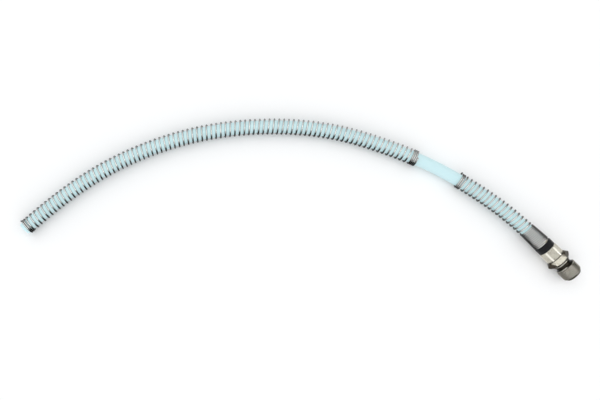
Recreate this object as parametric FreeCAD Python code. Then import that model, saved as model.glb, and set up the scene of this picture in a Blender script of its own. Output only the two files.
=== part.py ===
"""A flexible air hose lying in a low arch, inside two wire spring guards, with a male pipe
fitting clamped to its right end. Millimetres, +Z up, the floor at Z = 0, and the origin at
the middle of the assembly's footprint."""

import FreeCAD, Part
import math
import os

from FreeCAD import Matrix, Placement, Vector

os.makedirs("parts", exist_ok=True)

# The hose: a half-inch tube with a three-eighths bore. The bore is cut at the open end and round
# the stem; between them the hose is left plain.
hose_outer = 12.7
hose_inner = 9.5
mouth_depth = 20.0

# Its route on the floor, from the open left end to the end clamped in the fitting (x, y)
route_plan = [
    (-287.0, -30.0),
    (-258.0, -4.0),
    (-205.0, 32.5),
    (-148.0, 58.0),
    (-90.0, 73.0),
    (-28.0, 78.0),
    (33.0, 73.0),
    (91.0, 56.0),
    (143.0, 34.0),
    (191.0, 5.0),
    (228.0, -24.0),
    (259.5, -54.5),
]
arc_share = 0.45

# The spring guards: wire wound left-handed, with a flat against the hose and a ridge outwards
wire_thickness = 1.4
wire_width = 1.75
wire_clearance = 0.05
runs_per_turn = 8
open_pitch = 5.0
closed_pitch = 1.84

# The long guard covers the hose from just inside its open end
open_end_bare = 2.0
long_guard_length = 440.5
long_guard_closed = (2.5, 3.25)

# The short guard starts after a bare stretch; its tight coils spread and grip the nut's shank
bare_length = 47.0
short_guard_closed = (2.5, 11.25)
short_guard_end_diameter = 18.6

# The fitting's stations, measured along its axis forwards from the rear face of the body's hex
nipple_length = 7.0
stem_length = 14.0
rear_cone_length = 3.5
hex_corner_length = 1.2
front_cone_length = 3.9
neck_length = 3.6
thread_lead_length = 1.2
thread_length = 8.0
nose_shoulder_length = 3.7
nose_tip_length = 2.3

# The fitting body's sizes across the axis
body_hex = 22.2
body_rear_face = 20.6
neck_diameter = 16.2
thread_diameter = 20.955
nose_shoulder = 18.9
nose_face = 13.4
nipple_diameter = 14.3
body_bore = 7.0
stem_clearance = 0.05
hose_end_gap = 0.2

# The nut, with the round shank behind it that carries the collar and the short guard
nut_hex = 17.5
nut_length = 12.0
nut_face_gap = 0.2
nut_thread_clearance = 0.05
nut_hose_clearance = 0.1
nut_rear_face = 18.0
nut_chamfer_length = 2.2
shank_diameter = 13.9
shank_grip_length = 6.2

# The black collar between the nut and the last coil
collar_diameter = 18.6
collar_length = 7.2
collar_clearance = 0.05
coil_gap = 0.25

# How the fitting lies: turned a little about its axis, with one corner of its hex on the floor
fitting_roll = 13.0

# The wire runs straight between its corners, so these lie further out than the hose
hose_radius = hose_outer / 2
guard_inner_radius = (hose_radius + wire_clearance) / math.cos(math.pi / runs_per_turn)
guard_rest_height = guard_inner_radius + wire_thickness
half_hex_corner = math.radians(30.0)
corner_from_down = half_hex_corner - math.radians(fitting_roll)
fitting_height = body_hex / 2 / math.cos(half_hex_corner) * math.cos(corner_from_down)

# The hose lies in the guard as far as the long guard goes, then climbs to the fitting's axis
climb = {9: 0.35, 10: 1.0, 11: 1.0}
route = [
    Vector(x, y, guard_rest_height + climb.get(i, 0.0) * (fitting_height - guard_rest_height))
    for i, (x, y) in enumerate(route_plan)
]


def hose_path(points):
    """The straight runs and tangent arcs that the hose follows, as one wire."""
    edges = []
    last = points[0]
    for before, corner, after in zip(points, points[1:], points[2:]):
        shorter = min((corner - before).Length, (after - corner).Length)
        back = (before - corner).normalize()
        ahead = (after - corner).normalize()
        half_turn = (math.pi - back.getAngle(ahead)) / 2
        radius = arc_share * shorter / math.tan(half_turn)
        print("bend radius %.0f mm, turn %.1f degrees" % (radius, math.degrees(2 * half_turn)))
        start = corner + back * (arc_share * shorter)
        end = corner + ahead * (arc_share * shorter)
        inward = (back + ahead).normalize()
        middle = corner + inward * (radius / math.cos(half_turn) - radius)
        edges.append(Part.LineSegment(last, start).toShape())
        edges.append(Part.Arc(start, middle, end).toShape())
        last = end
    edges.append(Part.LineSegment(last, points[-1]).toShape())
    return Part.Wire(edges)


path = hose_path(route)
hose_length = path.Length


def along(station):
    """The point of the hose's centre line at this length from its open end, and its frame."""
    left = station
    for edge in path.OrderedEdges:
        if left <= edge.Length or edge.isSame(path.OrderedEdges[-1]):
            break
        left -= edge.Length
    parameter = edge.getParameterByLength(min(max(left, 0.0), edge.Length))
    ahead = edge.tangentAt(parameter).normalize()
    side = Vector(0, 0, 1).cross(ahead).normalize()
    return edge.valueAt(parameter), ahead, side, ahead.cross(side)


def fitting_placement():
    """Puts a piece that is turned about +Z on the fitting's axis, with the roll of the fitting."""
    ahead = (route[-1] - route[-2]).normalize()
    side = Vector(0, 0, 1).cross(ahead).normalize()
    up = ahead.cross(side)
    roll = math.radians(fitting_roll)
    flat = up * math.cos(roll) - side * math.sin(roll)
    third = ahead.cross(flat)
    origin = route[-1] + ahead * (hose_end_gap + nipple_length)
    turn = Matrix(
        flat.x, third.x, ahead.x, origin.x,
        flat.y, third.y, ahead.y, origin.y,
        flat.z, third.z, ahead.z, origin.z,
        0, 0, 0, 1,
    )
    return Placement(turn)


def turned(profile):
    """A solid turned about Z from (radius, station) corners."""
    points = [Vector(radius, 0, station) for radius, station in profile]
    outline = Part.makePolygon(points + points[:1])
    return Part.Face(outline).revolve(Vector(0, 0, 0), Vector(0, 0, 1), 360)


def bar(radius, start, end):
    """A round bar along Z."""
    return Part.makeCylinder(radius, end - start, Vector(0, 0, start))


def hexagon(across_flats, start, end):
    """A hexagonal bar along Z with a flat facing +X."""
    corner = across_flats / 2 / math.cos(half_hex_corner)
    angles = [half_hex_corner * (2 * i + 1) for i in range(6)]
    corners = [Vector(corner * math.cos(a), corner * math.sin(a), start) for a in angles]
    outline = Part.makePolygon(corners + corners[:1])
    return Part.Face(outline).extrude(Vector(0, 0, end - start))


def hose():
    """The hose, swept along its path, with its bore at both ends."""
    start, end = route[0], route[-1]
    ahead, back = route[1] - start, route[-2] - end
    section = Part.Wire(Part.makeCircle(hose_radius, start, ahead))
    swept = path.makePipeShell([section], True, False)
    expected = math.pi * hose_radius**2 * hose_length
    print("hose length %.1f mm, volume %.4f of section times length" % (hose_length, swept.Volume / expected))
    mouth = Part.makeCylinder(hose_inner / 2, mouth_depth, start, ahead)
    round_stem = Part.makeCylinder(hose_inner / 2, stem_length, end, back)
    return swept.cut(mouth).cut(round_stem)


def winding(first, last, closed):
    """The stations of a wire's corners: tight turns at each end, and between them whole open
    turns whose pitch is fitted to the length that is left."""
    tight = [round(turns * runs_per_turn) for turns in closed]
    step = closed_pitch / runs_per_turn
    open_first = first + tight[0] * step
    open_length = last - tight[1] * step - open_first
    runs = round(open_length / open_pitch) * runs_per_turn
    stations = [first + i * step for i in range(tight[0])]
    stations += [open_first + open_length * i / runs for i in range(runs)]
    return stations + [last - i * step for i in range(tight[1], -1, -1)]


def wound_wire(first, last, closed, radius_at):
    """A wire wound left-handed about the hose from one station to another, starting on the
    outside of the arch. radius_at gives the wire's inner radius at a station."""
    sections = []
    for i, station in enumerate(winding(first, last, closed)):
        angle = math.pi / 2 + 2 * math.pi * i / runs_per_turn
        centre, ahead, side, up = along(station)
        outward = side * math.sin(angle) + up * math.cos(angle)
        seat = centre + outward * radius_at(station)
        half_width = ahead * (wire_width / 2)
        ridge = seat + outward * wire_thickness
        sections.append(Part.makePolygon([seat - half_width, ridge, seat + half_width, seat - half_width]))
    return Part.makeLoft(sections, True, True)


def long_spring_guard():
    """The open guard that keeps the hose from kinking and wearing, closed at both ends."""
    first = open_end_bare + wire_width / 2
    last = open_end_bare + long_guard_length - wire_width / 2
    return wound_wire(first, last, long_guard_closed, lambda station: guard_inner_radius)


def collar_rear():
    """The station of the collar's rear face along the hose."""
    nut_rear = hose_length + hose_end_gap + nipple_length - nut_face_gap - nut_length
    return nut_rear - collar_length


def short_spring_guard():
    """The strain relief: open coils that close up and spread over the nut's shank."""
    first = open_end_bare + long_guard_length + bare_length + wire_width / 2
    last = collar_rear() - coil_gap - wire_width / 2
    spread_first = last - short_guard_closed[1] * closed_pitch
    spread = short_guard_end_diameter / 2 - wire_thickness - guard_inner_radius

    def radius_at(station):
        share = min(max((station - spread_first) / (last - spread_first), 0.0), 1.0)
        return guard_inner_radius + share * spread

    return wound_wire(first, last, short_guard_closed, radius_at)


def spring_collar():
    """The black ring on the nut's shank."""
    front = -nut_face_gap - nut_length
    rear = front - collar_length
    bore = bar(shank_diameter / 2 + collar_clearance, rear, front)
    return bar(collar_diameter / 2, rear, front).cut(bore)


def clamp_nut():
    """The hex nut that clamps the hose on the stem, with the shank that the guard grips."""
    front = -nut_face_gap
    rear = front - nut_length
    shank_rear = rear - collar_length - shank_grip_length
    corner = nut_hex / 2 / math.cos(half_hex_corner)
    limits = turned(
        [
            (0, rear),
            (nut_rear_face / 2, rear),
            (corner, rear + nut_chamfer_length),
            (corner, front),
            (0, front),
        ]
    )
    head = hexagon(nut_hex, rear, front).common(limits)
    shank = bar(shank_diameter / 2, shank_rear, rear)
    thread_bore = bar(nipple_diameter / 2 + nut_thread_clearance, -nipple_length - hose_end_gap, front)
    hose_bore = bar(hose_radius + nut_hose_clearance, shank_rear, front)
    return head.fuse(shank).cut(thread_bore).cut(hose_bore).removeSplitter()


def fitting_body():
    """The body: stem in the hose, nipple for the nut, chamfered hex, neck and male pipe thread."""
    corner = body_hex / 2 / math.cos(half_hex_corner)
    stem = hose_inner / 2 - stem_clearance
    stem_tip = -nipple_length - stem_length
    hex_end = rear_cone_length + hex_corner_length + front_cone_length
    neck_end = hex_end + neck_length
    thread_start = neck_end + thread_lead_length
    shoulder_start = thread_start + thread_length
    shoulder_end = shoulder_start + nose_shoulder_length
    nose_end = shoulder_end + nose_tip_length
    hex_limits = turned(
        [
            (0, 0),
            (body_rear_face / 2, 0),
            (corner, rear_cone_length),
            (corner, rear_cone_length + hex_corner_length),
            (neck_diameter / 2, hex_end),
            (0, hex_end),
        ]
    )
    front_end = turned(
        [
            (0, hex_end),
            (neck_diameter / 2, hex_end),
            (neck_diameter / 2, neck_end),
            (thread_diameter / 2, thread_start),
            (thread_diameter / 2, shoulder_start),
            (nose_shoulder / 2, shoulder_end),
            (nose_face / 2, nose_end),
            (0, nose_end),
        ]
    )
    head = hexagon(body_hex, 0, hex_end).common(hex_limits)
    rear_end = bar(nipple_diameter / 2, -nipple_length, 0).fuse(bar(stem, stem_tip, -nipple_length))
    passage = bar(body_bore / 2, stem_tip, nose_end)
    return head.fuse([front_end, rear_end]).cut(passage).removeSplitter()


def write(name, shape):
    """Saves one piece and prints what it is made of."""
    size = shape.BoundBox
    print(
        "%-18s solids %d faces %d valid %s volume %.0f  x %.1f..%.1f y %.1f..%.1f z %.2f..%.2f"
        % (
            name, len(shape.Solids), len(shape.Faces), shape.isValid(), shape.Volume,
            size.XMin, size.XMax, size.YMin, size.YMax, size.ZMin, size.ZMax,
        )
    )
    shape.exportStep("parts/%s.step" % name)


on_axis = fitting_placement()
pieces = {
    "hose": hose(),
    "long_spring_guard": long_spring_guard(),
    "short_spring_guard": short_spring_guard(),
    "spring_collar": spring_collar(),
    "clamp_nut": clamp_nut(),
    "fitting_body": fitting_body(),
}
for name in ("spring_collar", "clamp_nut", "fitting_body"):
    pieces[name].Placement = on_axis
for name, piece in pieces.items():
    write(name, piece)
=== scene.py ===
"""The looks of a flexible air hose that lies in a low arch inside two wire spring guards, with a
clamp nut, a black collar and a male pipe fitting at its right end. Metres, +Z up."""

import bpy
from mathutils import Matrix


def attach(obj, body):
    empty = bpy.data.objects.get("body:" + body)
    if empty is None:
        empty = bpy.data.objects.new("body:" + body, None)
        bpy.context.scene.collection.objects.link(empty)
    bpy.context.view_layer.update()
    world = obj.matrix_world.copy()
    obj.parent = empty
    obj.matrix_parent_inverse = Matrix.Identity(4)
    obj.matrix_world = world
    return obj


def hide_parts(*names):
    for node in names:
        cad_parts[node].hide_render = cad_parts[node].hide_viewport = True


bl_info = {
    "name": "Hose Assembly",
    "version": (1, 0, 0),
    "blender": (4, 5, 0),
    "location": "3D View > Sidebar > Hose Assembly",
    "description": "Builds an air hose with wire spring guards and a male pipe fitting",
    "category": "Object",
}

import math
from collections import namedtuple

import bmesh
import bpy
from bpy.props import FloatProperty, FloatVectorProperty, IntProperty, PointerProperty
from mathutils import Matrix, Vector
from mathutils.kdtree import KDTree

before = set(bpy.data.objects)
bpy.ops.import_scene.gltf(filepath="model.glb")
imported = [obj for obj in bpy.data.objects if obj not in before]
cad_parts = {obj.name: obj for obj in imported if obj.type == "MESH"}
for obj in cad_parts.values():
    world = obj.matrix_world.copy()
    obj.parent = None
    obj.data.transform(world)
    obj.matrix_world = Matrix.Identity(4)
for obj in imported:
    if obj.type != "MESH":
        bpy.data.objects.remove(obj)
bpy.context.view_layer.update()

BODY = "root"
MM = 0.001
FULL_TURN = 2 * math.pi

# Heights of the hose's centre line: in the guard on the floor, on the climb, and on the fitting's
# axis
REST_HEIGHT = 0.0083274
CLIMB_HEIGHT = 0.0097028
FITTING_HEIGHT = 0.0122570

# The hose's route, from its open left end to the end clamped in the fitting
ROUTE = [
    (-0.2870, -0.0300, REST_HEIGHT),
    (-0.2580, -0.0040, REST_HEIGHT),
    (-0.2050, 0.0325, REST_HEIGHT),
    (-0.1480, 0.0580, REST_HEIGHT),
    (-0.0900, 0.0730, REST_HEIGHT),
    (-0.0280, 0.0780, REST_HEIGHT),
    (0.0330, 0.0730, REST_HEIGHT),
    (0.0910, 0.0560, REST_HEIGHT),
    (0.1430, 0.0340, REST_HEIGHT),
    (0.1910, 0.0050, CLIMB_HEIGHT),
    (0.2280, -0.0240, FITTING_HEIGHT),
    (0.2595, -0.0545, FITTING_HEIGHT),
]

# The fitting's axis starts at the rear face of the body's hex, this far ahead of the hose's end
HEX_FACE_GAP = 0.0072
FITTING_ROLL = math.radians(13.0)

# Stations along the fitting's axis and radii about it, in millimetres
COLLAR_REAR = -19.4
NUT_REAR = -12.2
NUT_FRONT = -0.2
NOSE_END = 27.4
THREAD_RADIUS = 10.4775

# The colour sockets of a mix node, which share their names with others
MIX_FIRST, MIX_SECOND, MIX_RESULT = 6, 7, 2

# Colours of painted shade, of painted shade where metal turns away from the view, and of painted
# highlights on metal
WIRE_PAINTED_SHADE = (0.022, 0.02, 0.017)
WIRE_EDGE_SHADE = (0.015, 0.013, 0.012)
NICKEL_PAINTED_SHADE = (0.035, 0.03, 0.022)
NICKEL_EDGE_SHADE = (0.05, 0.042, 0.03)
NICKEL_PAINTED_HIGHLIGHT = (0.95, 0.92, 0.82)


class HoseSettings(bpy.types.PropertyGroup):
    """Sizes and colours of the hose."""

    diameter: FloatProperty(
        name="Diameter", description="Outside diameter of the hose", default=0.0127, unit="LENGTH"
    )
    wall: FloatProperty(
        name="Wall", description="Thickness of the hose's wall", default=0.0016, unit="LENGTH"
    )
    colour: FloatVectorProperty(
        name="Colour", description="Colour of the hose", subtype="COLOR", default=(0.66, 0.90, 0.94)
    )


class GuardSettings(bpy.types.PropertyGroup):
    """Sizes and colours of the two wire spring guards."""

    wire: FloatProperty(
        name="Wire", description="Diameter of the round wire", default=0.0016, unit="LENGTH"
    )
    open_pitch: FloatProperty(
        name="Open Pitch", description="Distance between open turns", default=0.0050, unit="LENGTH"
    )
    tight_pitch: FloatProperty(
        name="Tight Pitch", description="Distance between tight turns", default=0.00184, unit="LENGTH"
    )
    end_diameter: FloatProperty(
        name="Spread Diameter",
        description="Outside of the last coil on the nut",
        default=0.0186,
        unit="LENGTH",
    )
    end_lift: FloatProperty(
        name="End Lift",
        description="How far a guard's first end stands off the hose",
        default=0.0010,
        unit="LENGTH",
    )
    long_first: FloatProperty(
        name="Long Guard Start",
        description="Bare hose before the long guard",
        default=0.0020,
        unit="LENGTH",
    )
    long_length: FloatProperty(
        name="Long Guard Length", description="Length of the long guard", default=0.4405, unit="LENGTH"
    )
    bare_length: FloatProperty(
        name="Bare Length",
        description="Bare hose between the guards",
        default=0.0470,
        unit="LENGTH",
    )
    colour: FloatVectorProperty(
        name="Colour",
        description="Colour of the steel wire",
        subtype="COLOR",
        default=(0.92, 0.93, 0.90),
    )


class FittingSettings(bpy.types.PropertyGroup):
    """Sizes and colours of the collar, the nut and the fitting body."""

    thread_pitch: FloatProperty(
        name="Thread Pitch", description="Pitch of the pipe thread", default=0.001814, unit="LENGTH"
    )
    thread_depth: FloatProperty(
        name="Thread Depth", description="Depth of the pipe thread", default=0.00105, unit="LENGTH"
    )
    thread_turns: IntProperty(
        name="Thread Turns", description="Turns of the pipe thread", default=7, min=1
    )
    edge_round: FloatProperty(
        name="Edge Round",
        description="Rounding of the nut's and the body's edges",
        default=0.0003,
        unit="LENGTH",
    )
    corner_round: FloatProperty(
        name="Corner Round",
        description="Radius of the nut's six corners",
        default=0.0022,
        unit="LENGTH",
    )
    nickel: FloatVectorProperty(
        name="Nickel",
        description="Colour of the nickel plating",
        subtype="COLOR",
        default=(0.58, 0.55, 0.465),
    )
    black: FloatVectorProperty(
        name="Black",
        description="Colour of the collar",
        subtype="COLOR",
        default=(0.006, 0.006, 0.007),
    )


class StageSettings(bpy.types.PropertyGroup):
    """The camera and the floor."""

    camera_height: FloatProperty(
        name="Camera Height",
        description="Height of the lens above the floor",
        default=0.700,
        unit="LENGTH",
    )
    foot_x: FloatProperty(
        name="Camera X",
        description="Place of the lens from left to right",
        default=-0.052,
        unit="LENGTH",
    )
    foot_y: FloatProperty(
        name="Camera Y",
        description="Place of the lens from front to back",
        default=-0.0728,
        unit="LENGTH",
    )
    view_width: FloatProperty(
        name="View Width", description="Width of the view at the object", default=0.624, unit="LENGTH"
    )
    floor: FloatVectorProperty(
        name="Floor", description="Colour of the floor", subtype="COLOR", default=(0.93, 0.93, 0.93)
    )


class RoutePoints:
    """Points read from a smooth route, with their lengths along it."""

    def __init__(self, points):
        self.points = points
        self.lengths = [0.0]
        for a, b in zip(points, points[1:]):
            self.lengths.append(self.lengths[-1] + (b - a).length)

    def at(self, station):
        """The point at this length from the open end, with the directions ahead, aside and up."""
        station = min(max(station, 0.0), self.lengths[-1])
        last = len(self.points) - 2
        low, high = 0, last
        while low < high:
            middle = (low + high + 1) // 2
            if self.lengths[middle] <= station:
                low = middle
            else:
                high = middle - 1
        span = self.lengths[low + 1] - self.lengths[low]
        share = (station - self.lengths[low]) / span
        point = self.points[low].lerp(self.points[low + 1], share)
        before = self.direction(max(low - 1, 0), low + 1)
        after = self.direction(low, min(low + 2, last + 1))
        ahead = before.lerp(after, share).normalized()
        side = Vector((0, 0, 1)).cross(ahead).normalized()
        return point, ahead, side, ahead.cross(side)

    def direction(self, first, last):
        """The direction from one read point to another."""
        return (self.points[last] - self.points[first]).normalized()


def new_object(name, data):
    """Links a new object to the scene, at the origin."""
    obj = bpy.data.objects.new(name, data)
    bpy.context.scene.collection.objects.link(obj)
    return obj


def smooth_curve(name, points, resolution):
    """A smooth curve of order 3 with the given control points."""
    curve = bpy.data.curves.new(name, "CURVE")
    curve.dimensions = "3D"
    curve.resolution_u = resolution
    spline = curve.splines.new("NURBS")
    spline.points.add(len(points) - 1)
    for control, place in zip(spline.points, points):
        control.co = (*place, 1.0)
    spline.order_u = 3
    spline.use_endpoint_u = True
    return curve


def curve_mesh(curve, name):
    """The mesh that a curve makes, and the curve's own objects removed."""
    holder = new_object(name + "_curve", curve)
    bpy.context.view_layer.update()
    graph = bpy.context.evaluated_depsgraph_get()
    mesh = bpy.data.meshes.new_from_object(holder.evaluated_get(graph))
    mesh.name = name
    bpy.data.objects.remove(holder)
    return mesh


def read_route():
    """Points read from the route's smooth curve."""
    mesh = curve_mesh(smooth_curve("route", ROUTE, 64), "route_points")
    return RoutePoints([vertex.co.copy() for vertex in mesh.vertices])


def fitting_matrix():
    """Puts a piece turned about +Z on the fitting's axis, with a hex flat facing the roll."""
    end = Vector(ROUTE[-1])
    ahead = (end - Vector(ROUTE[-2])).normalized()
    side = Vector((0, 0, 1)).cross(ahead).normalized()
    up = ahead.cross(side)
    flat = up * math.cos(FITTING_ROLL) - side * math.sin(FITTING_ROLL)
    third = ahead.cross(flat)
    turn = Matrix((flat, third, ahead)).transposed().to_4x4()
    return Matrix.Translation(end + ahead * HEX_FACE_GAP) @ turn


def finish_piece(obj, material, nodes):
    """Gives a piece its material and its place in the frame."""
    obj.data.materials.clear()
    obj.data.materials.append(material)
    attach(obj, BODY)
    if nodes:
        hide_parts(*nodes)
    return obj


def smooth_by_angle(mesh, degrees):
    """Shades a mesh smooth, with edges sharper than the angle kept."""
    shaped = bmesh.new()
    shaped.from_mesh(mesh)
    for face in shaped.faces:
        face.smooth = True
    for edge in shaped.edges:
        edge.smooth = len(edge.link_faces) == 2 and edge.calc_face_angle(0.0) < math.radians(degrees)
    shaped.to_mesh(mesh)
    shaped.free()


def store(mesh, attribute, values):
    """Stores a value for each vertex, for the material."""
    stored = mesh.attributes.new(attribute, "FLOAT", "POINT")
    stored.data.foreach_set("value", values)


class Nodes:
    """A material's nodes, made and wired in short lines."""

    def __init__(self, name):
        self.material = bpy.data.materials.new(name)
        self.material.use_nodes = True
        self.tree = self.material.node_tree
        self.shader = self.tree.nodes["Principled BSDF"]

    def add(self, kind, inputs=None, **values):
        """A node of this kind, with its settings and its inputs set or linked."""
        node = self.tree.nodes.new(kind)
        for key, value in values.items():
            setattr(node, key, value)
        for key, value in (inputs or {}).items():
            self.set(node, key, value)
        return node

    def set(self, node, key, value):
        """Sets an input to a value, or links it to another node's output."""
        if isinstance(value, bpy.types.NodeSocket):
            self.tree.links.new(value, node.inputs[key])
        else:
            node.inputs[key].default_value = value

    def shade(self, **values):
        """Sets the shader's inputs, with underscores for the spaces in their names."""
        for key, value in values.items():
            self.set(self.shader, key.replace("_", " "), value)

    def ramp(self, source, stops):
        """A colour ramp over a value, from (place, colour) stops."""
        node = self.add("ShaderNodeValToRGB", {"Fac": source})
        elements = node.color_ramp.elements
        while len(elements) < len(stops):
            elements.new(0.5)
        for element, (place, colour) in zip(elements, stops):
            element.position = place
            element.color = (*colour, 1.0)
        return node.outputs["Color"]

    def place(self):
        """The place on the piece, in its own coordinates."""
        return self.add("ShaderNodeTexCoord").outputs["Object"]

    def noise(self, place, scale, detail=2.0):
        """An uneven value from 0 to 1, finer where the scale is larger."""
        inputs = {"Vector": place, "Scale": scale, "Detail": detail}
        return self.add("ShaderNodeTexNoise", inputs).outputs["Fac"]

    def spread(self, value, low, high):
        """A value from 0 to 1, spread between two others."""
        inputs = {"Value": value, "To Min": low, "To Max": high}
        return self.add("ShaderNodeMapRange", inputs).outputs["Result"]

    def stored(self, attribute):
        """A value that the piece stores on its points, or 0 where it has none."""
        return self.add("ShaderNodeAttribute", attribute_name=attribute).outputs["Fac"]

    def mix(self, amount, colour, other, blend_type="MIX"):
        """A colour, changed to another by an amount."""
        inputs = {"Factor": amount, MIX_FIRST: colour, MIX_SECOND: (*other, 1.0)}
        node = self.add("ShaderNodeMix", data_type="RGBA", blend_type=blend_type)
        for key, value in inputs.items():
            self.set(node, key, value)
        return node.outputs[MIX_RESULT]

    def painted_edge_shade(self, colour, dark, first, last):
        """Painted shade: the colour, multiplied by a dark one where the surface turns away from the
        view, as much as the piece's stored edge shade share says."""
        facing = self.add("ShaderNodeLayerWeight", {"Blend": 0.5}).outputs["Facing"]
        inputs = {"Value": facing, "From Min": first, "From Max": last}
        inputs["To Max"] = self.stored("edge_shade_share")
        amount = self.add("ShaderNodeMapRange", inputs).outputs["Result"]
        return self.mix(amount, colour, dark, "MULTIPLY")

    def stored_mix(self, attribute, colour, other, blotches=None):
        """The colour, changed to another where the piece's stored attribute is high, with an
        uneven border where there are blotches."""
        value = self.stored(attribute)
        if blotches:
            inputs = {0: blotches, 1: 0.5, 2: value}
            uneven = self.add("ShaderNodeMath", inputs, operation="MULTIPLY_ADD")
            value = uneven.outputs["Value"]
        inputs = {"Value": value, "From Min": 0.5, "From Max": 0.85}
        amount = self.add("ShaderNodeMapRange", inputs).outputs["Result"]
        return self.mix(amount, colour, other)

    def bump(self, height, strength, distance):
        """A bump from a height, sent to the shader."""
        inputs = {"Height": height, "Strength": strength, "Distance": distance}
        node = self.add("ShaderNodeBump", inputs)
        self.set(self.shader, "Normal", node.outputs["Normal"])


def scaled(colour, share):
    """A colour made darker or paler by a share."""
    return tuple(min(channel * share, 1.0) for channel in colour)


def hose_material(settings):
    """Pale blue-green polymer, a little see-through, with painted shade that makes it slightly deeper
    on the bare stretch between the guards.
    """
    nodes = Nodes("hose_polymer")
    place = nodes.place()
    cloud = nodes.noise(place, scale=60.0, detail=3.0)
    grain = nodes.noise(place, scale=900.0)
    stops = [(0.35, scaled(settings.colour, 0.96)), (0.65, scaled(settings.colour, 1.03))]
    colour = nodes.stored_mix("bare_painted_shade", nodes.ramp(cloud, stops), scaled(settings.colour, 0.88))
    rough = nodes.spread(cloud, low=0.34, high=0.46)
    nodes.shade(Base_Color=colour, Roughness=rough, IOR=1.45)
    nodes.shade(Subsurface_Weight=0.25, Subsurface_Scale=0.003, Subsurface_Radius=(1.0, 1.0, 1.0))
    nodes.bump(grain, strength=0.15, distance=0.0001)
    return nodes.material


def wire_material(settings):
    """Bright drawn steel wire, with fine marks and a few duller patches, black painted shade in the
    grooves between the turns and on the coils' sides, and painted shade where the wire turns away from
    the view.
    """
    nodes = Nodes("spring_wire_steel")
    place = nodes.place()
    patches = nodes.noise(place, scale=90.0, detail=4.0)
    shade_border_noise = nodes.noise(place, scale=260.0, detail=4.0)
    marks = nodes.noise(place, scale=1600.0, detail=3.0)
    stops = [(0.3, scaled(settings.colour, 0.8)), (0.7, scaled(settings.colour, 1.08))]
    colour = nodes.stored_mix("painted_shade", nodes.ramp(patches, stops), WIRE_PAINTED_SHADE, shade_border_noise)
    colour = nodes.painted_edge_shade(colour, WIRE_EDGE_SHADE, first=0.18, last=0.48)
    rough = nodes.spread(patches, low=0.14, high=0.3)
    nodes.shade(Base_Color=colour, Metallic=1.0, Roughness=rough)
    nodes.bump(marks, strength=0.05, distance=0.00002)
    return nodes.material


def nickel_material(name, colour):
    """Satin nickel plating with slight tarnish, with painted shade on the body where it turns away
    from the view, painted shade in the thread's roots and on the neck, and painted highlights on the
    nut's corners, the body's rim and the thread's crests."""
    nodes = Nodes(name)
    place = nodes.place()
    tarnish = nodes.noise(place, scale=220.0, detail=5.0)
    grain = nodes.noise(place, scale=2600.0)
    tint = nodes.ramp(tarnish, [(0.3, scaled(colour, 0.82)), (0.7, scaled(colour, 1.06))])
    tint = nodes.stored_mix("painted_shade", tint, NICKEL_PAINTED_SHADE)
    tint = nodes.stored_mix("painted_highlight", tint, NICKEL_PAINTED_HIGHLIGHT)
    tint = nodes.painted_edge_shade(tint, NICKEL_EDGE_SHADE, first=0.10, last=0.32)
    rough = nodes.spread(tarnish, low=0.2, high=0.36)
    nodes.shade(Base_Color=tint, Metallic=1.0, Roughness=rough)
    nodes.bump(grain, strength=0.06, distance=0.00002)
    return nodes.material


def collar_material(settings):
    """Black rubber-like moulding, nearly without shine, with fine scuffs."""
    nodes = Nodes("collar_black")
    scuffs = nodes.noise(nodes.place(), scale=500.0, detail=6.0)
    colour = nodes.ramp(scuffs, [(0.4, settings.black), (0.75, scaled(settings.black, 2.2))])
    rough = nodes.spread(scuffs, low=0.22, high=0.42)
    nodes.shade(Base_Color=colour, Roughness=rough, Specular_IOR_Level=0.15)
    nodes.bump(scuffs, strength=0.05, distance=0.00005)
    return nodes.material


class HOSE_ASSEMBLY_OT_hose(bpy.types.Operator):
    """Make the hose along its route"""

    bl_idname = "hose_assembly.hose"
    bl_label = "Hose"

    def execute(self, context):
        settings = context.scene.hose_settings
        curve = smooth_curve("hose_line", ROUTE, resolution=24)
        curve.bevel_depth = settings.diameter / 2
        curve.bevel_resolution = 18
        hose = new_object("hose_tube", curve_mesh(curve, "hose_tube"))
        smooth_by_angle(hose.data, degrees=40)
        # Painted shade that makes the bare stretch between the guards slightly deeper
        store(hose.data, "bare_painted_shade", self.bare_painted_shade(hose.data, context.scene.guard_settings))
        wall = hose.modifiers.new("wall", "SOLIDIFY")
        wall.thickness = settings.wall
        wall.offset = -1
        finish_piece(hose, hose_material(settings), ["hose"])
        return {"FINISHED"}

    def bare_painted_shade(self, mesh, guards):
        """How much painted shade each point has: most in the middle of the bare stretch between the
        guards, less towards them, and not at all further on."""
        most, fall = 1.7, 0.9
        reach = guards.bare_length / 2
        middle = read_route().at(guards.long_first + guards.long_length + reach)[0]
        return [most - fall * (vertex.co - middle).length / reach for vertex in mesh.vertices]


# A point on a wire: its place, the hose's direction, how far inside the arch it is (1 to -1), and
# whether the turn is a tight one
WirePoint = namedtuple("WirePoint", "place ahead inside tight")


def coil_points(route, first, last, tight_turns, radius_at, settings):
    """The wire points of a left-handed coil about the route, with tight turns at each end and
    whole open turns between them. It starts on the outside of the arch, where its end stands off
    a little."""
    turn_points = 28
    start_turn = 0.25
    lifted_points = 5
    tight_points = [round(turns * turn_points) for turns in tight_turns]
    step = settings.tight_pitch / turn_points
    open_first = first + tight_points[0] * step
    open_length = last - tight_points[1] * step - open_first
    open_points = round(open_length / settings.open_pitch) * turn_points
    stations = [first + i * step for i in range(tight_points[0])]
    stations += [open_first + open_length * i / open_points for i in range(open_points)]
    stations += [last - i * step for i in range(tight_points[1], -1, -1)]
    points = []
    for i, station in enumerate(stations):
        angle = FULL_TURN * (start_turn + i / turn_points)
        centre, ahead, side, up = route.at(station)
        radius = radius_at(station) + settings.end_lift * max(1 - i / lifted_points, 0) ** 2
        place = centre + (side * math.sin(angle) + up * math.cos(angle)) * radius
        is_tight = not tight_points[0] <= i < tight_points[0] + open_points
        points.append(WirePoint(place, ahead, -math.sin(angle), is_tight))
    return points


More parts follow.
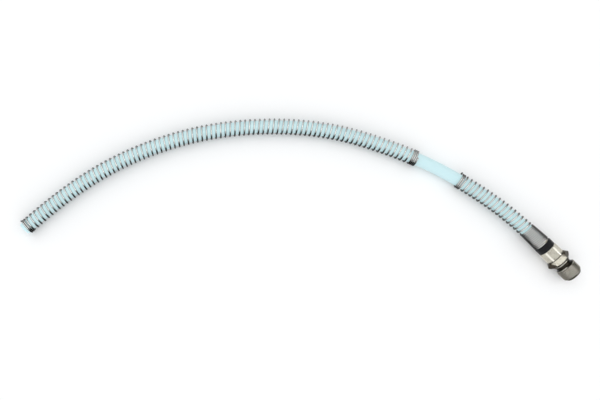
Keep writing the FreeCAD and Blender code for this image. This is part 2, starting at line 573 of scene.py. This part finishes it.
def wire_painted_shade(mesh, points, arch_side_shade):
    """The painted shade on each vertex of a wire: in the grooves between the turns, most in the tight
    ones, and where a function of how far inside the arch it is says so."""
    unshaded_tight, unshaded_open = 0.28, 0.50
    tree = KDTree(len(points))
    for i, point in enumerate(points):
        tree.insert(point.place, i)
    tree.balance()
    painted_shade = []
    for vertex in mesh.vertices:
        point = points[tree.find(vertex.co)[1]]
        groove = abs((vertex.co - point.place).normalized().dot(point.ahead))
        unshaded = unshaded_tight if point.tight else unshaded_open
        painted_shade.append(max(arch_side_shade(point.inside), groove - unshaded))
    return painted_shade


def wire_piece(name, points, arch_side_shade, edge_shade_share, settings, material, node):
    """A round wire through the given points, with cut ends, painted shade in its grooves and on its
    sides, and painted shade on its edges.
    """
    curve = bpy.data.curves.new(name, "CURVE")
    curve.dimensions = "3D"
    curve.bevel_depth = settings.wire / 2
    curve.bevel_resolution = 3
    curve.use_fill_caps = True
    spline = curve.splines.new("POLY")
    spline.points.add(len(points) - 1)
    for control, point in zip(spline.points, points):
        control.co = (*point.place, 1.0)
    wire = new_object(name, curve_mesh(curve, name))
    store(wire.data, "painted_shade", wire_painted_shade(wire.data, points, arch_side_shade))
    store(wire.data, "edge_shade_share", [edge_shade_share] * len(wire.data.vertices))
    smooth_by_angle(wire.data, degrees=60)
    return finish_piece(wire, material, [node])


class HOSE_ASSEMBLY_OT_guards(bpy.types.Operator):
    """Wind the two wire spring guards about the hose"""

    bl_idname = "hose_assembly.guards"
    bl_label = "Spring Guards"

    def execute(self, context):
        settings = context.scene.guard_settings
        route = read_route()
        material = wire_material(settings)
        long_wire = self.long_guard(route, settings, material)
        short_wire = self.short_guard(route, settings, material)
        return {"FINISHED"}

    def long_guard(self, route, settings, material):
        """The guard over most of the hose, with black painted shade on the inside of the arch."""
        tight_turns = (2.5, 3.25)
        half_wire = settings.wire / 2
        coil = REST_HEIGHT - half_wire
        first = settings.long_first + half_wire
        last = settings.long_first + settings.long_length - half_wire
        points = coil_points(route, first, last, tight_turns, lambda station: coil, settings)

        # Black painted shade on the coil's side towards the inside of the arch, and less on the outer
        # side
        def arch_side_shade(inside):
            return max(inside - 0.13, -inside - 0.35)

        return wire_piece(
            "long_guard_wire", points, arch_side_shade, 0.55, settings, material, "long_spring_guard"
        )

    def short_guard(self, route, settings, material):
        """The guard at the fitting, whose last tight turns spread over the nut's shank."""
        tight_turns = (2.5, 11.25)
        coil_gap = 0.25
        half_wire = settings.wire / 2
        coil = REST_HEIGHT - half_wire
        first = settings.long_first + settings.long_length + settings.bare_length + half_wire
        hex_face = route.lengths[-1] + HEX_FACE_GAP
        last = hex_face + (COLLAR_REAR - coil_gap) * MM - half_wire
        spread_length = tight_turns[1] * settings.tight_pitch
        spread = settings.end_diameter / 2 - half_wire - coil

        def radius_at(station):
            share = min(max((station - last) / spread_length + 1, 0.0), 1.0)
            return coil + share * spread

        # Black painted shade on the coil's two sides, none on its top and underside
        def arch_side_shade(inside):
            return abs(inside) - 0.45

        points = coil_points(route, first, last, tight_turns, radius_at, settings)
        return wire_piece(
            "short_guard_wire", points, arch_side_shade, 1.0, settings, material, "short_spring_guard"
        )


def cad_copy(node, name, turn):
    """A copy of a CAD node's mesh, turned back to its own axis, with its loose triangles merged."""
    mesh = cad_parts[node].data.copy()
    mesh.name = name
    mesh.transform(turn.inverted())
    shaped = bmesh.new()
    shaped.from_mesh(mesh)
    bmesh.ops.remove_doubles(shaped, verts=shaped.verts, dist=1e-6)
    bmesh.ops.dissolve_limit(
        shaped, angle_limit=math.radians(0.8), verts=shaped.verts, edges=shaped.edges
    )
    return mesh, shaped


def rounded(obj, width, degrees):
    """Rounds a piece's edges that are sharper than the angle."""
    bevel = obj.modifiers.new("rounded_edges", "BEVEL")
    bevel.width = width
    bevel.segments = 3
    bevel.limit_method = "ANGLE"
    bevel.angle_limit = math.radians(degrees)
    bevel.harden_normals = True


def spun(name, profile, steps, milled=None):
    """A closed piece turned about Z from (radius, station) corners in millimetres, and milled
    by a function that moves a (radius, angle, station) to its (radius, station)."""
    shaped = bmesh.new()
    corners = [shaped.verts.new((radius * MM, 0, station * MM)) for radius, station in profile]
    edges = [shaped.edges.new(pair) for pair in zip(corners, corners[1:] + corners[:1])]
    bmesh.ops.spin(
        shaped,
        geom=corners + edges,
        cent=(0, 0, 0),
        axis=(0, 0, 1),
        angle=FULL_TURN,
        steps=steps,
        use_merge=True,
    )
    for vertex in shaped.verts if milled else []:
        angle = math.atan2(vertex.co.y, vertex.co.x)
        radius, station = milled(math.hypot(vertex.co.x, vertex.co.y) / MM, angle, vertex.co.z / MM)
        vertex.co = (radius * MM * math.cos(angle), radius * MM * math.sin(angle), station * MM)
    bmesh.ops.remove_doubles(shaped, verts=shaped.verts, dist=1e-6)
    bmesh.ops.recalc_face_normals(shaped, faces=shaped.faces)
    mesh = bpy.data.meshes.new(name)
    shaped.to_mesh(mesh)
    shaped.free()
    return mesh


class HOSE_ASSEMBLY_OT_collar(bpy.types.Operator):
    """Make the black collar between the last coil and the nut"""

    bl_idname = "hose_assembly.collar"
    bl_label = "Collar"

    def execute(self, context):
        rear, front = COLLAR_REAR, NUT_REAR
        outer, inner = 9.3, 7.0
        rim = 0.5
        cut = 0.3 * rim
        profile = [
            (inner, rear),
            (outer - rim, rear),
            (outer - cut, rear + cut),
            (outer, rear + rim),
            (outer, front - rim),
            (outer - cut, front - cut),
            (outer - rim, front),
            (inner, front),
        ]
        collar = new_object("collar_ring", spun("collar_ring", profile, steps=96))
        collar.data.transform(fitting_matrix())
        smooth_by_angle(collar.data, degrees=50)
        material = collar_material(context.scene.fitting_settings)
        finish_piece(collar, material, ["spring_collar"])
        return {"FINISHED"}


def from_corner(angle):
    """The angle from the nearest corner of a hex that has a flat at angle 0."""
    return abs(angle % math.radians(60) - math.radians(30))


class HOSE_ASSEMBLY_OT_nut(bpy.types.Operator):
    """Make the clamp nut: a turned blank with six milled flats and rounded corners"""

    bl_idname = "hose_assembly.nut"
    bl_label = "Clamp Nut"

    # The blank's radius, its rear face's radius and the front of its rear chamfer, in millimetres
    blank, rear_face = 10.1, 9.0
    chamfer_end = -10.0

    def execute(self, context):
        settings = context.scene.fitting_settings
        rounding = settings.corner_round / MM
        rim = settings.edge_round / MM
        cut = 0.3 * rim
        bore, shank, seat = 6.45, 6.95, 7.2
        tail, step = -25.6, -7.2
        tail_rim = 0.2
        profile = [
            (bore, tail),
            (shank - tail_rim, tail),
            (shank, tail + tail_rim),
            (shank, NUT_REAR),
            (self.rear_face, NUT_REAR),
            (self.blank, self.chamfer_end),
            (self.blank, NUT_FRONT - rim),
            (self.blank - cut, NUT_FRONT - cut),
            (self.blank - rim, NUT_FRONT),
            (seat, NUT_FRONT),
            (seat, step),
            (bore, step),
        ]
        mesh = spun("clamp_nut_hex", profile, 288, lambda *point: self.milled(rounding, *point))
        # Painted highlight on the nut's rounded corners
        store(mesh, "painted_highlight", self.corner_painted_highlight(mesh))
        mesh.transform(fitting_matrix())
        smooth_by_angle(mesh, degrees=22)
        nut = new_object("clamp_nut_hex", mesh)
        finish_piece(nut, nickel_material("nut_nickel", settings.nickel), ["clamp_nut"])
        return {"FINISHED"}

    def corner_painted_highlight(self, mesh):
        """The painted highlight on each vertex: all on the hex's corners, and none from 8.5 degrees
        off.
        """
        clear, fade = 8.5, 3.0
        painted_highlight = []
        for vertex in mesh.vertices:
            outside = math.hypot(vertex.co.x, vertex.co.y) > 1.005 * self.rear_face * MM
            aside = math.degrees(from_corner(math.atan2(vertex.co.y, vertex.co.x)))
            painted_highlight.append((clear - aside) / fade if outside else 0.0)
        return painted_highlight

    def milled(self, rounding, radius, angle, station):
        """A point of the blank once the flats are milled, which cut the rear chamfer in arcs."""
        is_inside = radius < 0.8 * self.blank
        is_at_front = station > self.chamfer_end + 1
        outline = self.outline(rounding, from_corner(angle))
        if is_inside:
            return radius, station
        if is_at_front:
            return outline - (self.blank - radius), station
        slope = (self.chamfer_end - NUT_REAR) / (self.blank - self.rear_face)
        reach = min(radius, outline)
        return reach, NUT_REAR + slope * max(reach - self.rear_face, 0.0)

    def outline(self, rounding, aside):
        """The radius of the rounded hex at an angle from one of its corners."""
        half = math.radians(30)
        flat = self.blank * math.cos(half)
        centre = (flat - rounding) / math.cos(half)
        if flat * math.tan(half - aside) <= centre * math.sin(half):
            return flat / math.cos(half - aside)
        return centre * math.cos(aside) + math.sqrt(rounding**2 - (centre * math.sin(aside)) ** 2)


def envelope(station):
    """The outside radius of the threaded end, in millimetres, at a station along the axis. Its
    shoulder is rounded, with these powers along and across the axis."""
    shoulder_start, face = 21.4, 6.7
    along, across = 2.4, 1.6
    if station <= shoulder_start:
        return THREAD_RADIUS
    share = min((station - shoulder_start) / (NOSE_END - shoulder_start), 1.0)
    return face + (THREAD_RADIUS - face) * (1 - share**along) ** (1 / across)


def between_stations(mesh, first, last, elsewhere=0.0):
    """A value for each vertex: 1 between two stations, in millimetres, and another elsewhere."""
    return [1.0 if first * MM < vertex.co.z < last * MM else elsewhere for vertex in mesh.vertices]


class HOSE_ASSEMBLY_OT_body(bpy.types.Operator):
    """Make the fitting body: chamfered hex, neck, pipe thread and rounded nose"""

    bl_idname = "hose_assembly.body"
    bl_label = "Fitting Body"

    def execute(self, context):
        settings = context.scene.fitting_settings
        turn = fitting_matrix()
        material = nickel_material("body_nickel", scaled(settings.nickel, 1.4))
        self.make_hex(turn, settings, material)
        self.make_spun_part(turn, settings, material)
        self.make_thread(turn, settings, material)
        return {"FINISHED"}

    def make_hex(self, turn, settings, material):
        """The hex with its two chamfers, cut out of the CAD body and closed."""
        rear, front, inside = 0.02, 8.55, 5.0
        mesh, shaped = cad_copy("fitting_body", "body_hex", turn)
        for station, clear_outer in ((rear, False), (front, True)):
            bmesh.ops.bisect_plane(
                shaped,
                geom=shaped.verts[:] + shaped.edges[:] + shaped.faces[:],
                dist=1e-7,
                plane_co=(0, 0, station * MM),
                plane_no=(0, 0, 1),
                clear_outer=clear_outer,
                clear_inner=not clear_outer,
            )
        bore = [v for v in shaped.verts if math.hypot(v.co.x, v.co.y) < inside * MM]
        bmesh.ops.delete(shaped, geom=bore, context="VERTS")
        bmesh.ops.holes_fill(shaped, edges=shaped.edges, sides=0)
        bmesh.ops.recalc_face_normals(shaped, faces=shaped.faces)
        shaped.to_mesh(mesh)
        shaped.free()
        # Painted shade where the hex turns away from the view
        store(mesh, "edge_shade_share", [1.0] * len(mesh.vertices))
        mesh.transform(turn)
        smooth_by_angle(mesh, degrees=15)
        hexagon = new_object("body_hex", mesh)
        rounded(hexagon, settings.edge_round, degrees=20)
        finish_piece(hexagon, material, ["fitting_body"])

    def make_spun_part(self, turn, settings, material):
        """The stem, nipple, rim with a painted highlight, neck, thread core and nose, bored through.
        """
        bore, stem, nipple, neck, rim = 3.5, 4.7, 7.15, 8.1, 9.25
        tail, nipple_rear, nipple_front = -21.0, -7.0, 0.5
        rim_rear, rim_front, neck_front = 7.9, 8.6, 12.2
        rim_cut, rim_clear, mouth_cut = 0.15, 0.1, 0.6
        profile = [
            (bore, tail),
            (stem, tail),
            (stem, nipple_rear),
            (nipple, nipple_rear),
            (nipple, nipple_front),
            (neck, nipple_front),
            (neck, rim_rear),
            (rim - rim_cut, rim_rear),
            (rim, rim_rear + rim_cut),
            (rim, rim_front - rim_cut),
            (rim - rim_cut, rim_front),
            (neck, rim_front),
            (neck, rim_front + rim_clear),
            (neck, neck_front),
            *self.core_profile(settings.thread_depth / MM),
            (bore + mouth_cut, NOSE_END),
            (bore, NOSE_END - mouth_cut),
        ]
        mesh = spun("body_core", profile, steps=96)
        # Painted shade on the neck and the thread's core, painted shade where the surface turns away
        # from the view, and a painted highlight on the rim
        store(mesh, "painted_shade", between_stations(mesh, first=8.65, last=26.7, elsewhere=0.1))
        store(mesh, "edge_shade_share", [0.8] * len(mesh.vertices))
        store(mesh, "painted_highlight", between_stations(mesh, first=7.8, last=8.62))
        mesh.transform(turn)
        smooth_by_angle(mesh, degrees=35)
        finish_piece(new_object("body_core", mesh), material, [])

    def core_profile(self, depth):
        """The corners of the core under the thread, whose depth runs out towards the nose."""
        thread_end, run_out = 27.0, 2.0
        first, spacing, count = 13.2, 0.5, 27
        stations = [first + i * spacing for i in range(count)] + [26.9, 27.2, NOSE_END]
        corners = []
        for station in stations:
            share = min(max((thread_end - station) / run_out, 0.0), 1.0)
            corners.append((envelope(station) - depth * share, station))
        return corners

    def make_thread(self, turn, settings, material):
        """The ridge of the pipe thread, wound right-handed about the core."""
        pitch, turns = settings.thread_pitch, settings.thread_turns
        crest = THREAD_RADIUS * MM
        overlap = 0.2 * MM
        root = crest - settings.thread_depth - overlap
        half_crest, half_root, fade = 0.14 * pitch, 0.46 * pitch, 0.6 * pitch
        first = 13.0 * MM
        steps = 72
        profile = [(root, -half_root), (crest, -half_crest), (crest, half_crest), (root, half_root)]
        shaped = bmesh.new()
        corners = [shaped.verts.new((radius, 0, first + height)) for radius, height in profile]
        edges = [shaped.edges.new(pair) for pair in zip(corners, corners[1:] + corners[:1])]
        bmesh.ops.spin(
            shaped,
            geom=corners + edges,
            cent=(0, 0, 0),
            axis=(0, 0, 1),
            angle=FULL_TURN * turns,
            steps=steps * turns,
            dvec=(0, 0, pitch / steps),
        )
        bmesh.ops.holes_fill(shaped, edges=shaped.edges, sides=4)
        # Painted shade for each vertex, from none at the crest to all in the roots
        painted_shade = []
        for vertex in shaped.verts:
            radius = math.hypot(vertex.co.x, vertex.co.y)
            painted_shade.append((crest - radius) / (crest - root))
            from_end = min(vertex.co.z - first, first + turns * pitch - vertex.co.z)
            grown = min(max(from_end / fade, 0.0), 1.0)
            sunk = min(radius, root + (crest - root) * grown)
            share = sunk / radius * envelope(vertex.co.z / MM) * MM / crest
            vertex.co.x *= share
            vertex.co.y *= share
        bmesh.ops.recalc_face_normals(shaped, faces=shaped.faces)
        mesh = bpy.data.meshes.new("pipe_thread")
        shaped.to_mesh(mesh)
        shaped.free()
        # Painted shade in the roots, painted shade where the thread turns away from the view, and a
        # painted highlight on the crests
        store(mesh, "painted_shade", painted_shade)
        store(mesh, "edge_shade_share", [0.68] * len(mesh.vertices))
        store(mesh, "painted_highlight", [1.0 - share for share in painted_shade])
        mesh.transform(turn)
        smooth_by_angle(mesh, degrees=25)
        finish_piece(new_object("pipe_thread", mesh), material, [])


class HOSE_ASSEMBLY_OT_stage(bpy.types.Operator):
    """Set up the floor, the lamps, the world and the camera"""

    bl_idname = "hose_assembly.stage"
    bl_label = "Stage"

    def execute(self, context):
        settings = context.scene.stage_settings
        self.make_floor(settings)
        self.make_world(context.scene)
        middle, fitting = (0.0, 0.0, 0.0), (0.26, -0.055, 0.01)
        self.make_lamp("key", (-0.60, 0.70, 1.05), middle, size=0.7, power=1.2)
        self.make_lamp("top", (-0.1, 0.1, 1.5), middle, size=0.8, power=2.2)
        self.make_lamp("fill", (0.45, -1.0, 0.9), middle, size=1.2, power=1.5)
        self.make_lamp("glint", (0.92, 0.13, 1.02), fitting, size=0.25, power=0.6, mirrored=True)
        self.make_camera(context.scene, settings)
        context.scene.view_settings.view_transform = "Standard"
        return {"FINISHED"}

    def make_floor(self, settings):
        """A wide pale floor."""
        shaped = bmesh.new()
        bmesh.ops.create_grid(shaped, x_segments=1, y_segments=1, size=3.0)
        mesh = bpy.data.meshes.new("floor")
        shaped.to_mesh(mesh)
        shaped.free()
        nodes = Nodes("floor_paper")
        grain = nodes.noise(nodes.place(), scale=300.0)
        nodes.shade(Base_Color=(*settings.floor, 1.0), Roughness=0.9, Specular_IOR_Level=0.1)
        nodes.bump(grain, strength=0.02, distance=0.0002)
        floor = new_object("floor", mesh)
        mesh.materials.append(nodes.material)

    def make_world(self, scene):
        """A white studio with one pale grey corner, low down at the far right."""
        corner = (0.69, 0.72, -0.10)
        stops = [(0.50, (0.98, 0.99, 1.0)), (0.80, (0.72, 0.72, 0.72))]
        world = bpy.data.worlds.new("studio")
        world.use_nodes = True
        tree = world.node_tree
        background = tree.nodes["Background"]
        direction = tree.nodes.new("ShaderNodeTexCoord")
        facing = tree.nodes.new("ShaderNodeVectorMath")
        facing.operation = "DOT_PRODUCT"
        facing.inputs[1].default_value = corner
        tone = tree.nodes.new("ShaderNodeValToRGB")
        tree.links.new(direction.outputs["Generated"], facing.inputs[0])
        tree.links.new(facing.outputs["Value"], tone.inputs["Fac"])
        tree.links.new(tone.outputs["Color"], background.inputs["Color"])
        for element, (position, colour) in zip(tone.color_ramp.elements, stops):
            element.position = position
            element.color = (*colour, 1.0)
        background.inputs["Strength"].default_value = 0.96
        scene.world = world

    def make_lamp(self, name, place, target, size, power, mirrored=False):
        """A soft square lamp that faces a point, and is or isn't mirrored in metal."""
        lamp = bpy.data.lights.new(name, "AREA")
        lamp.size = size
        lamp.energy = power
        obj = new_object(name, lamp)
        obj.visible_glossy = mirrored
        facing = (Vector(target) - Vector(place)).to_track_quat("-Z", "Y")
        obj.matrix_world = Matrix.Translation(place) @ facing.to_matrix().to_4x4()

    def make_camera(self, scene, settings):
        """A camera that looks straight down, framed as the photograph is."""
        subject_height = 0.010
        distance = settings.camera_height - subject_height
        camera = bpy.data.cameras.new("camera")
        camera.sensor_width = 36.0
        camera.lens = camera.sensor_width * distance / settings.view_width
        camera.shift_x = -settings.foot_x / settings.view_width
        camera.shift_y = -settings.foot_y / settings.view_width
        camera.clip_start = 0.01
        obj = new_object("camera", camera)
        obj.location = (settings.foot_x, settings.foot_y, settings.camera_height)
        scene.camera = obj


class HOSE_ASSEMBLY_PT_panel(bpy.types.Panel):
    """Lists the pieces of the hose assembly"""

    bl_idname = "HOSE_ASSEMBLY_PT_panel"
    bl_label = "Hose Assembly"
    bl_space_type = "VIEW_3D"
    bl_region_type = "UI"
    bl_category = "Hose Assembly"

    def draw(self, context):
        for operator in OPERATORS:
            self.layout.operator(operator.bl_idname)
        for name in SETTINGS:
            box = self.layout.box()
            settings = getattr(context.scene, name)
            for key in settings.__annotations__:
                box.prop(settings, key)


SETTINGS = {
    "hose_settings": HoseSettings,
    "guard_settings": GuardSettings,
    "fitting_settings": FittingSettings,
    "stage_settings": StageSettings,
}
OPERATORS = (
    HOSE_ASSEMBLY_OT_hose,
    HOSE_ASSEMBLY_OT_guards,
    HOSE_ASSEMBLY_OT_collar,
    HOSE_ASSEMBLY_OT_nut,
    HOSE_ASSEMBLY_OT_body,
    HOSE_ASSEMBLY_OT_stage,
)


def register():
    for cls in (*SETTINGS.values(), *OPERATORS, HOSE_ASSEMBLY_PT_panel):
        bpy.utils.register_class(cls)
    for name, cls in SETTINGS.items():
        setattr(bpy.types.Scene, name, PointerProperty(type=cls))


def unregister():
    for name in SETTINGS:
        delattr(bpy.types.Scene, name)
    for cls in (HOSE_ASSEMBLY_PT_panel, *reversed(OPERATORS), *SETTINGS.values()):
        bpy.utils.unregister_class(cls)


def main():
    register()
    bpy.ops.hose_assembly.hose()
    bpy.ops.hose_assembly.guards()
    bpy.ops.hose_assembly.collar()
    bpy.ops.hose_assembly.nut()
    bpy.ops.hose_assembly.body()
    bpy.ops.hose_assembly.stage()


if __name__ == "__main__":
    main()
